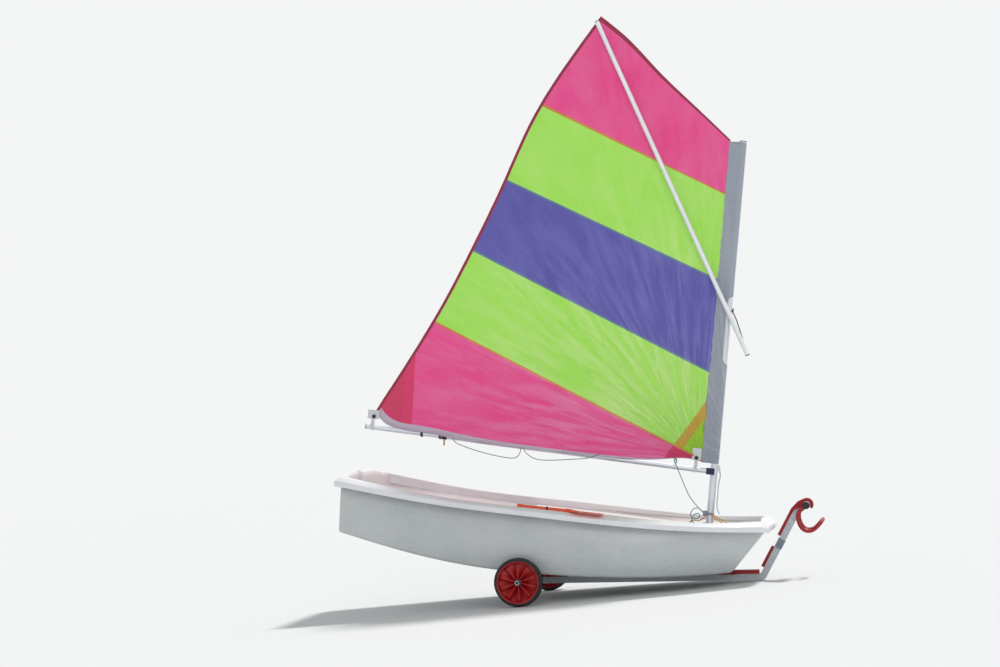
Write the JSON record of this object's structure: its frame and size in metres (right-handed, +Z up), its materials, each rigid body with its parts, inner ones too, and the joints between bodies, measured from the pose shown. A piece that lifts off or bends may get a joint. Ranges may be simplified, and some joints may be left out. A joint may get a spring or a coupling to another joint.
{
  "type": "sailing dinghy on a launching trolley",
  "caption": "Small moulded pram dinghy with a sprit rig and striped sail, parked bow down on a two-wheeled launching trolley.",
  "frame": {"origin": "on the floor, under the middle of the whole thing's bounding box", "axes": "+X to the bow, +Y to port, +Z up; the hull sits bow down by 11 degrees on its trolley"},
  "size_m": [2.6656, 1.1841, 3.1972],
  "materials": {
    "gelcoat_hull": "gloss",
    "gelcoat_rail": "gloss",
    "gelcoat_inside": "satin",
    "black_plastic": "satin",
    "stainless": "satin",
    "orange_plastic": "satin",
    "spar_aluminium": "satin",
    "blue_plastic": "satin",
    "sailcloth": "matte",
    "sleeve_cloth": "matte",
    "webbing": "matte",
    "galvanised": "satin",
    "red_foam": "matte",
    "clamp_grey": "satin",
    "red_tube": "satin",
    "black_rubber": "matte",
    "red_plastic": "satin",
    "grey_plastic": "satin"
  },
  "bodies": {
    "boat_on_trolley": {"hull_shell": "gelcoat_hull", "gunwale": "gelcoat_rail", "stern_liner": "gelcoat_inside", "bow_liner": "gelcoat_inside", "side_tanks": "gelcoat_inside", "midship_thwart": "gelcoat_inside", "daggerboard_case": "gelcoat_inside", "mast_thwart": "gelcoat_inside", "mast_bush": "black_plastic", "mast_step": "black_plastic", "rudder_gudgeons": "stainless", "drain_bung": "black_plastic", "mainsheet_eye": "black_plastic", "paddle": "orange_plastic", "beam_rear": "galvanised", "beam_front": "galvanised", "beam_plug": "black_plastic", "upright_pads": "red_foam", "upright_clamp": "clamp_grey", "bow_pad": "red_foam", "grip_tube": "galvanised", "grip_plugs": "black_plastic", "grip_wrap": "red_foam", "pull_loop": "red_tube", "axle": "galvanised", "axle_retainers": "galvanised", "axle_saddle": "galvanised", "hull_chocks": "black_rubber"},
    "rig": {"mast": "spar_aluminium", "mast_plugs": "black_plastic", "boom": "spar_aluminium", "boom_plug": "black_plastic", "boom_jaw": "blue_plastic", "sprit": "spar_aluminium", "sprit_plugs": "black_plastic", "sail": "sailcloth", "luff_sleeve": "sleeve_cloth", "tack_strap": "webbing", "clew_strap": "webbing", "mast_fittings": "grey_plastic"},
    "wheel_left": {"tyre_left": "black_rubber", "rim_left": "red_plastic", "hub_left": "grey_plastic"},
    "wheel_right": {"tyre_right": "black_rubber", "rim_right": "red_plastic", "hub_right": "grey_plastic"}
  },
  "joints": [
    {"name": "rig_turn", "type": "hinge", "parent": "boat_on_trolley", "child": "rig", "pos_m": [0.71992, 0, 0.38555], "axis": [0.1822, 0, 0.9833], "range_deg": [-90, 90]},
    {"name": "wheel_left_spin", "type": "hinge", "parent": "boat_on_trolley", "child": "wheel_left", "pos_m": [-0.2892, 0.534, 0.13], "axis": [0, 1, 0], "continuous": true},
    {"name": "wheel_right_spin", "type": "hinge", "parent": "boat_on_trolley", "child": "wheel_right", "pos_m": [-0.2892, -0.534, 0.13], "axis": [0, 1, 0], "continuous": true}
  ]
}
